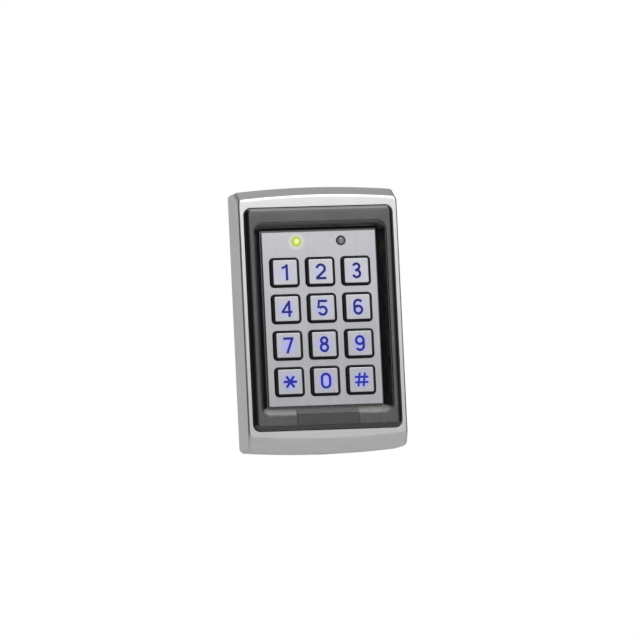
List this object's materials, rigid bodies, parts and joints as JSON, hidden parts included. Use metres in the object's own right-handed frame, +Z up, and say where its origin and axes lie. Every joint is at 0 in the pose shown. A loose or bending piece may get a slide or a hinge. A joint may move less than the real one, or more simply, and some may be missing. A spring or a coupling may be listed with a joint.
{
  "type": "keypad access reader",
  "caption": "Wall-mounted keypad access reader with a metal housing, a black inner frame, a metal face plate, backlit sprung metal keys and status lamps, on a screw-fixed wall plate.",
  "frame": {"origin": "centre of the mounting plate's back face, in the plane of the wall", "axes": "+Y into the wall, -Y out of the front, +Z up the wall, +X to the right as seen from in front"},
  "size_m": [0.0742, 0.0226, 0.1206],
  "materials": {
    "satin_nickel": "satin",
    "black_frame": "satin",
    "plaque": "satin",
    "brushed_plate": "brushed",
    "key_metal": "brushed",
    "legend": "backlit",
    "key_plastic": "matte",
    "lens_lit": "clear",
    "lens_clear": "clear",
    "black_plastic": "matte",
    "silicone": "matte",
    "board": "solder mask",
    "lamp": "gloss",
    "copper": "enamelled",
    "header": "matte",
    "cover_plastic": "fine texture",
    "rubber": "matte",
    "zinc_steel": "zinc plated",
    "screw_steel": "machined"
  },
  "bodies": {
    "housing": {"front_bezel": "satin_nickel", "inner_frame": "black_frame", "name_plaque": "plaque", "face_plate": "brushed_plate", "status_lens_left": "lens_lit", "status_lens_right": "lens_clear", "lens_holders": "black_plastic", "keypad_mat": "silicone", "circuit_board": "board", "backlight_leds": "lamp", "status_leds": "lamp", "buzzer": "black_plastic", "control_chips": "black_plastic", "antenna_coil": "copper", "wire_header": "header", "tamper_sensor": "black_plastic", "rear_cover": "cover_plastic", "cover_seal": "rubber", "cable_grommet": "rubber", "mounting_plate": "zinc_steel", "security_screw": "screw_steel", "cover_screws": "screw_steel", "small_screws": "screw_steel"},
    "key_1": {"key_cap_1": "key_metal", "key_legend_1": "legend", "key_body_1": "key_plastic"},
    "key_2": {"key_cap_2": "key_metal", "key_legend_2": "legend", "key_body_2": "key_plastic"},
    "key_3": {"key_cap_3": "key_metal", "key_legend_3": "legend", "key_body_3": "key_plastic"},
    "key_4": {"key_cap_4": "key_metal", "key_legend_4": "legend", "key_body_4": "key_plastic"},
    "key_5": {"key_cap_5": "key_metal", "key_legend_5": "legend", "key_body_5": "key_plastic"},
    "key_6": {"key_cap_6": "key_metal", "key_legend_6": "legend", "key_body_6": "key_plastic"},
    "key_7": {"key_cap_7": "key_metal", "key_legend_7": "legend", "key_body_7": "key_plastic"},
    "key_8": {"key_cap_8": "key_metal", "key_legend_8": "legend", "key_body_8": "key_plastic"},
    "key_9": {"key_cap_9": "key_metal", "key_legend_9": "legend", "key_body_9": "key_plastic"},
    "key_star": {"key_cap_star": "key_metal", "key_legend_star": "legend", "key_body_star": "key_plastic"},
    "key_0": {"key_cap_0": "key_metal", "key_legend_0": "legend", "key_body_0": "key_plastic"},
    "key_hash": {"key_cap_hash": "key_metal", "key_legend_hash": "legend", "key_body_hash": "key_plastic"}
  },
  "joints": [
    {"name": "key_1_press", "type": "slide", "parent": "housing", "child": "key_1", "axis": [0, 1, 0], "range_m": [0, 0.001], "stiffness_N_per_m": 1200, "deforming": ["keypad_mat"]},
    {"name": "key_2_press", "type": "slide", "parent": "housing", "child": "key_2", "axis": [0, 1, 0], "range_m": [0, 0.001], "stiffness_N_per_m": 1200, "deforming": ["keypad_mat"]},
    {"name": "key_3_press", "type": "slide", "parent": "housing", "child": "key_3", "axis": [0, 1, 0], "range_m": [0, 0.001], "stiffness_N_per_m": 1200, "deforming": ["keypad_mat"]},
    {"name": "key_4_press", "type": "slide", "parent": "housing", "child": "key_4", "axis": [0, 1, 0], "range_m": [0, 0.001], "stiffness_N_per_m": 1200, "deforming": ["keypad_mat"]},
    {"name": "key_5_press", "type": "slide", "parent": "housing", "child": "key_5", "axis": [0, 1, 0], "range_m": [0, 0.001], "stiffness_N_per_m": 1200, "deforming": ["keypad_mat"]},
    {"name": "key_6_press", "type": "slide", "parent": "housing", "child": "key_6", "axis": [0, 1, 0], "range_m": [0, 0.001], "stiffness_N_per_m": 1200, "deforming": ["keypad_mat"]},
    {"name": "key_7_press", "type": "slide", "parent": "housing", "child": "key_7", "axis": [0, 1, 0], "range_m": [0, 0.001], "stiffness_N_per_m": 1200, "deforming": ["keypad_mat"]},
    {"name": "key_8_press", "type": "slide", "parent": "housing", "child": "key_8", "axis": [0, 1, 0], "range_m": [0, 0.001], "stiffness_N_per_m": 1200, "deforming": ["keypad_mat"]},
    {"name": "key_9_press", "type": "slide", "parent": "housing", "child": "key_9", "axis": [0, 1, 0], "range_m": [0, 0.001], "stiffness_N_per_m": 1200, "deforming": ["keypad_mat"]},
    {"name": "key_star_press", "type": "slide", "parent": "housing", "child": "key_star", "axis": [0, 1, 0], "range_m": [0, 0.001], "stiffness_N_per_m": 1200, "deforming": ["keypad_mat"]},
    {"name": "key_0_press", "type": "slide", "parent": "housing", "child": "key_0", "axis": [0, 1, 0], "range_m": [0, 0.001], "stiffness_N_per_m": 1200, "deforming": ["keypad_mat"]},
    {"name": "key_hash_press", "type": "slide", "parent": "housing", "child": "key_hash", "axis": [0, 1, 0], "range_m": [0, 0.001], "stiffness_N_per_m": 1200, "deforming": ["keypad_mat"]}
  ]
}
